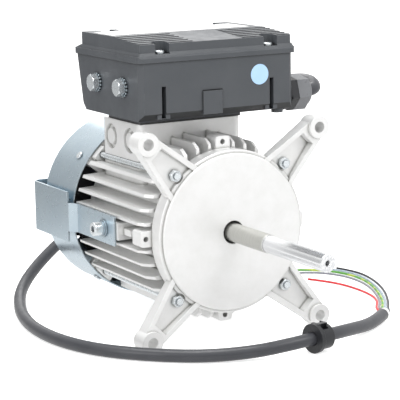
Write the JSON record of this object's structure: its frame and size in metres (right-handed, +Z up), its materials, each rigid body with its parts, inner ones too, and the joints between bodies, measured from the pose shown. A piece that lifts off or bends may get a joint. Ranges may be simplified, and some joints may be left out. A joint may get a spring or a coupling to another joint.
{
  "type": "oven fan motor",
  "caption": "Flange mounted oven fan motor with a finned body, long shaft, fan cowl, drive electronics box on top, and a supply cable.",
  "frame": {"origin": "on the shaft axis, in the plane of the four flange bosses", "axes": "-Y along the shaft towards its free end, +Z up to the box, +X to the gland side"},
  "size_m": [0.4009, 0.4666, 0.2791],
  "materials": {
    "cast_aluminium": "die cast, fine grain",
    "turned_steel": "turned and ground",
    "zinc_steel": "zinc plated",
    "dark_plastic": "moulded, satin",
    "gland_plastic": "moulded, satin",
    "black_rubber": "matt",
    "cable_sheath": "satin sheath",
    "lamination_steel": "stacked sheet",
    "copper": "lacquered wire",
    "lead_insulation": "insulation",
    "fan_plastic": "moulded",
    "bearing_steel": "ground",
    "cage_steel": "pressed sheet",
    "board_green": "solder mask",
    "capacitor_sleeve": "shrunk sleeve",
    "module_black": "black heat sink",
    "terminal_plastic": "moulded",
    "wire_black": "insulation",
    "wire_blue": "insulation",
    "wire_green_yellow": "insulation",
    "wire_grey": "insulation",
    "wire_red": "insulation"
  },
  "bodies": {
    "frame": {"front_flange": "cast_aluminium", "shaft_seal": "black_rubber", "stator_housing": "cast_aluminium", "stator_core": "lamination_steel", "stator_windings": "copper", "winding_leads": "lead_insulation", "rear_shield": "cast_aluminium", "through_bolts": "zinc_steel", "through_nuts": "zinc_steel", "front_bearing_outer": "bearing_steel", "rear_bearing_outer": "bearing_steel", "bearing_shields": "cage_steel", "preload_washer": "cage_steel", "fan_cover": "zinc_steel", "fan_cover_screws": "zinc_steel", "rear_bracket": "zinc_steel", "bracket_screws": "zinc_steel", "bracket_washers": "zinc_steel", "box_base": "dark_plastic", "box_gasket": "black_rubber", "box_fixing_screws": "zinc_steel", "box_lid": "dark_plastic", "lid_screws": "zinc_steel", "earth_bolts": "zinc_steel", "tooth_washers": "zinc_steel", "circuit_board": "board_green", "capacitors": "capacitor_sleeve", "power_module": "module_black", "terminal_block": "terminal_plastic", "supply_leads": "lead_insulation", "gland_body": "gland_plastic", "gland_dome_nut": "gland_plastic", "gland_seal": "black_rubber", "gland_locknut": "gland_plastic", "cable": "cable_sheath", "cable_bushing": "gland_plastic", "wire_black": "wire_black", "wire_blue": "wire_blue", "wire_green_yellow": "wire_green_yellow", "wire_grey": "wire_grey", "wire_red": "wire_red"},
    "rotor": {"shaft": "turned_steel", "rotor_core": "lamination_steel", "rotor_cage": "cast_aluminium", "cooling_fan": "fan_plastic", "fan_circlip": "bearing_steel", "front_bearing_inner": "bearing_steel", "rear_bearing_inner": "bearing_steel"},
    "front_ball_set": {"front_bearing_balls": "bearing_steel", "front_bearing_cage": "cage_steel"},
    "rear_ball_set": {"rear_bearing_balls": "bearing_steel", "rear_bearing_cage": "cage_steel"}
  },
  "joints": [
    {"name": "rotor_spin", "type": "hinge", "parent": "frame", "child": "rotor", "pos_m": [0, 0, 0], "axis": [0, -1, 0], "continuous": true},
    {"name": "front_balls_orbit", "type": "hinge", "parent": "frame", "child": "front_ball_set", "pos_m": [0, 0.024, 0], "axis": [0, -1, 0], "continuous": true},
    {"name": "rear_balls_orbit", "type": "hinge", "parent": "frame", "child": "rear_ball_set", "pos_m": [0, 0.171, 0], "axis": [0, -1, 0], "continuous": true}
  ],
  "couplings": [
    {"joint": "front_balls_orbit", "follows": "rotor_spin", "ratio": 0.3815},
    {"joint": "rear_balls_orbit", "follows": "rotor_spin", "ratio": 0.3815}
  ]
}
